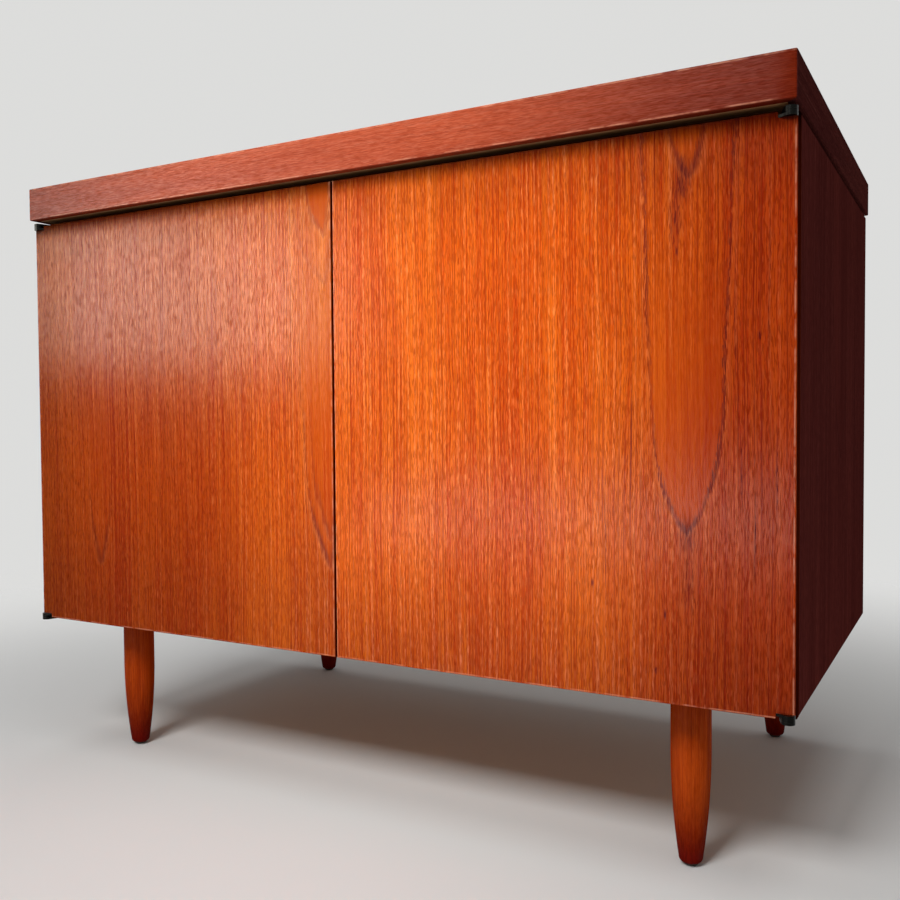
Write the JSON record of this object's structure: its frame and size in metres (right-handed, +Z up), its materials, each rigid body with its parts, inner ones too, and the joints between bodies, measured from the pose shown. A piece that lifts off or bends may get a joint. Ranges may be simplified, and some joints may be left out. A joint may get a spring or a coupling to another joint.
{
  "type": "sewing table",
  "caption": "Closed teak sewing cabinet on turned legs, with pivot-hinged doors and a back-hinged lid over a deck where a machine platform rises on parallel arms.",
  "frame": {"origin": "on the floor, under the centre of the lid", "axes": "+X to the right seen from the front, +Y to the back, +Z up"},
  "size_m": [0.99, 0.559, 0.76],
  "materials": {
    "door_teak": "semi-gloss lacquered teak veneer, vertical grain",
    "lid_teak": "semi-gloss lacquered teak, grain along the lid",
    "side_teak": "semi-gloss lacquered teak veneer, vertical grain",
    "leg_teak": "turned solid teak, lacquered",
    "deck_teak": "satin teak veneer",
    "inner_wood": "satin veneered board",
    "back_board": "plain hardboard",
    "beech": "plain turned beech",
    "hinge_metal": "worn nickel-plated steel",
    "lid_hinge_brass": "satin brass",
    "lift_steel": "dark grey enamelled steel",
    "lock_plastic": "black knob on a steel pin",
    "zinc_steel": "zinc-plated steel",
    "catch_plastic": "brown plastic with steel poles",
    "pad_felt": "dark felt"
  },
  "bodies": {
    "cabinet": {"left_side_panel": "side_teak", "right_side_panel": "side_teak", "front_left_leg": "leg_teak", "front_right_leg": "leg_teak", "back_left_leg": "leg_teak", "back_right_leg": "leg_teak", "work_deck": "deck_teak", "bottom_panel": "inner_wood", "centre_partition": "inner_wood", "shelf": "inner_wood", "back_panel": "back_board", "left_top_hinge_arm": "hinge_metal", "left_bottom_hinge_arm": "hinge_metal", "right_top_hinge_arm": "hinge_metal", "right_bottom_hinge_arm": "hinge_metal", "door_hinge_pins": "hinge_metal", "left_lid_hinge_base": "lid_hinge_brass", "right_lid_hinge_base": "lid_hinge_brass", "lid_hinge_pins": "lid_hinge_brass", "left_lift_plate": "lift_steel", "right_lift_plate": "lift_steel", "lift_lock_plate": "lift_steel", "leg_plates": "zinc_steel", "foot_glides": "zinc_steel", "shelf_pins": "zinc_steel", "magnet_catches": "catch_plastic", "door_pads": "pad_felt", "lid_pads": "pad_felt"},
    "left_door": {"left_door": "door_teak", "left_top_hinge_leaf": "hinge_metal", "left_bottom_hinge_leaf": "hinge_metal", "left_strike_plate": "zinc_steel"},
    "right_door": {"right_door": "door_teak", "right_top_hinge_leaf": "hinge_metal", "right_bottom_hinge_leaf": "hinge_metal", "right_strike_plate": "zinc_steel", "spool_rack": "inner_wood", "spool_pegs": "beech"},
    "lid": {"lid_board": "lid_teak", "lid_front_lipping": "lid_teak", "lid_back_lipping": "lid_teak", "lid_left_lipping": "lid_teak", "lid_right_lipping": "lid_teak", "lid_battens": "inner_wood", "left_lid_hinge_flap": "lid_hinge_brass", "right_lid_hinge_flap": "lid_hinge_brass"},
    "upper_lift_arms": {"upper_lift_arms": "lift_steel", "lift_torsion_tube": "lift_steel"},
    "lower_lift_arms": {"lower_lift_arms": "lift_steel"},
    "platform": {"machine_platform": "inner_wood", "platform_brackets": "lift_steel"},
    "lift_lock": {"lift_lock_plunger": "lock_plastic"}
  },
  "joints": [
    {"name": "left_door_swing", "type": "hinge", "parent": "cabinet", "child": "left_door", "pos_m": [-0.488, -0.2695, 0.44475], "axis": [0, 0, -1], "range_deg": [0, 180]},
    {"name": "right_door_swing", "type": "hinge", "parent": "cabinet", "child": "right_door", "pos_m": [0.488, -0.2695, 0.44475], "axis": [0, 0, 1], "range_deg": [0, 180]},
    {"name": "lid_swing", "type": "hinge", "parent": "cabinet", "child": "lid", "pos_m": [0, 0.26275, 0.71475], "axis": [-1, 0, 0], "range_deg": [0, 105]},
    {"name": "lift_swing", "type": "hinge", "parent": "cabinet", "child": "upper_lift_arms", "pos_m": [-0.2425, 0.15025, 0.47425], "axis": [-1, 0, 0], "range_deg": [0, 90]},
    {"name": "lower_arm_swing", "type": "hinge", "parent": "cabinet", "child": "lower_lift_arms", "pos_m": [-0.2425, 0.15025, 0.40425], "axis": [-1, 0, 0], "range_deg": [0, 90]},
    {"name": "platform_level", "type": "hinge", "parent": "upper_lift_arms", "child": "platform", "pos_m": [-0.2425, 0.023, 0.347], "axis": [-1, 0, 0], "range_deg": [-90, 0]},
    {"name": "lock_plunger_slide", "type": "slide", "parent": "platform", "child": "lift_lock", "axis": [-1, 0, 0], "range_m": [0, 0.0035]}
  ],
  "couplings": [
    {"joint": "lower_arm_swing", "follows": "lift_swing", "ratio": 1},
    {"joint": "platform_level", "follows": "lift_swing", "ratio": -1}
  ]
}
